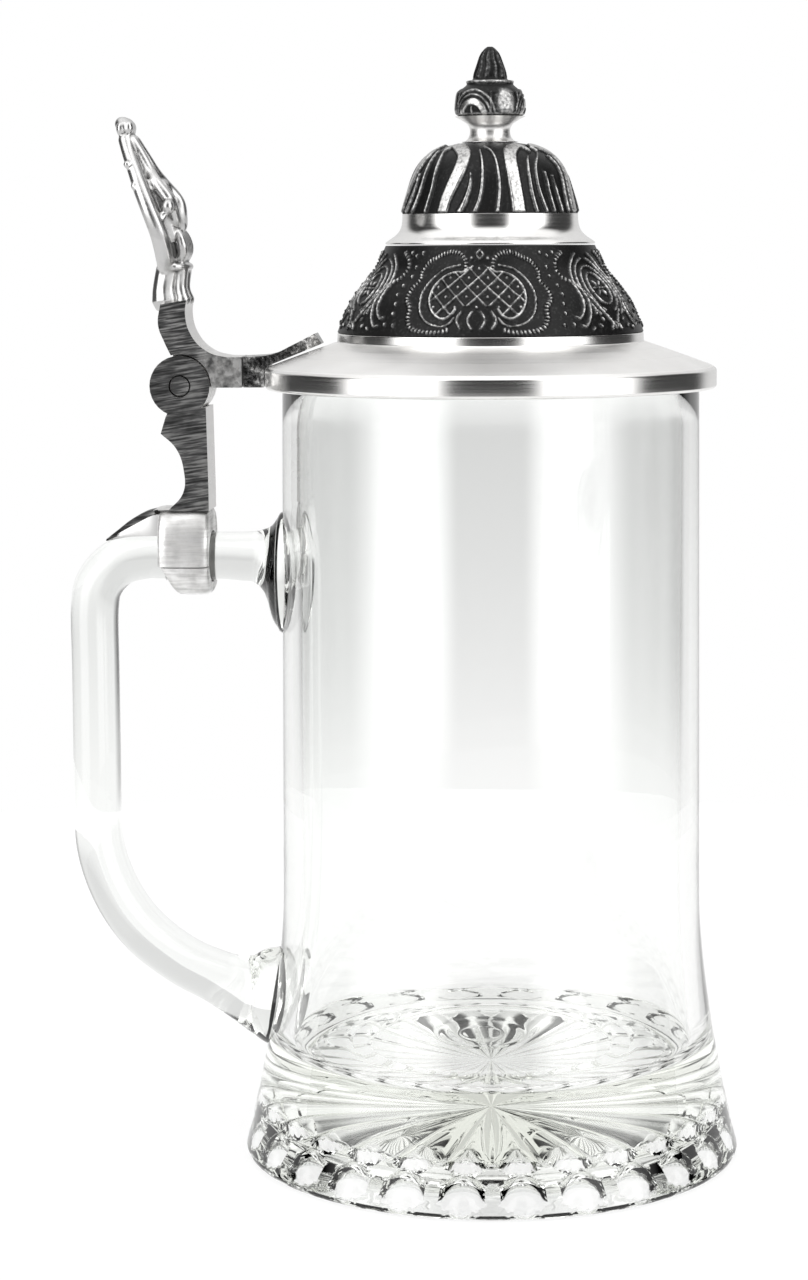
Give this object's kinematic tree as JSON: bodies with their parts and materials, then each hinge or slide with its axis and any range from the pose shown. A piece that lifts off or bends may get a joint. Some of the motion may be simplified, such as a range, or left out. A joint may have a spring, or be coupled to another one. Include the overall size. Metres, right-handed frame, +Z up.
{
  "type": "lidded beer stein",
  "caption": "Tall clear glass beer stein with a flared star-cut foot, a bar handle and a hinged domed pewter lid with thumb rest and finial.",
  "frame": {"origin": "middle of the whole footprint, at table level; the mug's own axis is 17.5 mm towards +X from it", "axes": "+Z up; the handle and the lid's hinge are towards -X; the hinge pin lies along Y"},
  "size_m": [0.135, 0.1, 0.221],
  "materials": {
    "clear_glass": "clear, fire-polished",
    "satin_pewter": "pewter, satin to polished",
    "patinated_pewter": "cast pewter relief, darkened in the hollows",
    "pin_steel": "drawn wire"
  },
  "bodies": {
    "mug": {"glass_body": "clear_glass", "glass_handle": "clear_glass", "hinge_shank": "satin_pewter", "strap_lower": "satin_pewter", "hinge_pin": "pin_steel", "pin_plug_front": "satin_pewter", "pin_plug_back": "satin_pewter"},
    "lid": {"hinge_lever": "satin_pewter", "thumblift": "satin_pewter", "lid_tang": "satin_pewter", "lid_plate": "satin_pewter", "relief_band": "patinated_pewter", "lid_shoulder": "satin_pewter", "relief_dome": "patinated_pewter", "finial_stem": "satin_pewter", "finial_knob": "patinated_pewter"}
  },
  "joints": [
    {"name": "lid_hinge", "type": "hinge", "parent": "mug", "child": "lid", "pos_m": [-0.0438, 0, 0.1552], "axis": [0, -1, 0], "range_deg": [0, 130]}
  ]
}
